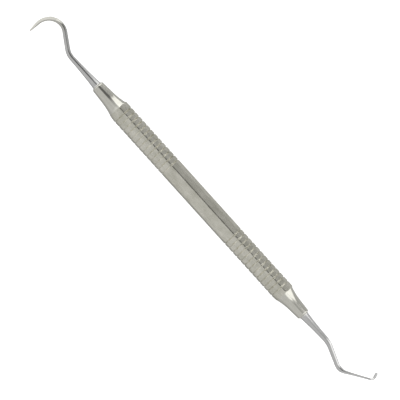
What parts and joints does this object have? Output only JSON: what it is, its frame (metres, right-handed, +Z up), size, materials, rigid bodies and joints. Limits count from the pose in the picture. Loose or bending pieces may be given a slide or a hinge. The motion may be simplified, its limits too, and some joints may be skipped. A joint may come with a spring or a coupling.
{
  "type": "hand scaler",
  "caption": "Double-ended dental hand scaler: a hollow faceted steel handle with grooved grips, tapered noses, a crescent sickle at one end and a bent hook with a rounded toe at the other.",
  "frame": {"origin": "under the middle of the handle, on the flat of the tube that it rests on", "axes": "+X along the handle from the sickle to the hook, +Y to the side that the sickle's crest stands out on, +Z up from the resting flat"},
  "size_m": [0.1763, 0.0109, 0.0077],
  "materials": {
    "handle_steel": "satin, warm grey, fine grain",
    "nose_steel": "smooth satin, brighter than the handle",
    "tip_steel": "polished, with a finely ground blade",
    "silver_solder": "soft satin"
  },
  "bodies": {
    "root": {"handle_tube": "handle_steel", "sickle_nose": "nose_steel", "hook_nose": "nose_steel", "sickle_end": "tip_steel", "hook_end": "tip_steel", "sickle_solder": "silver_solder", "hook_solder": "silver_solder"}
  },
  "joints": []
}
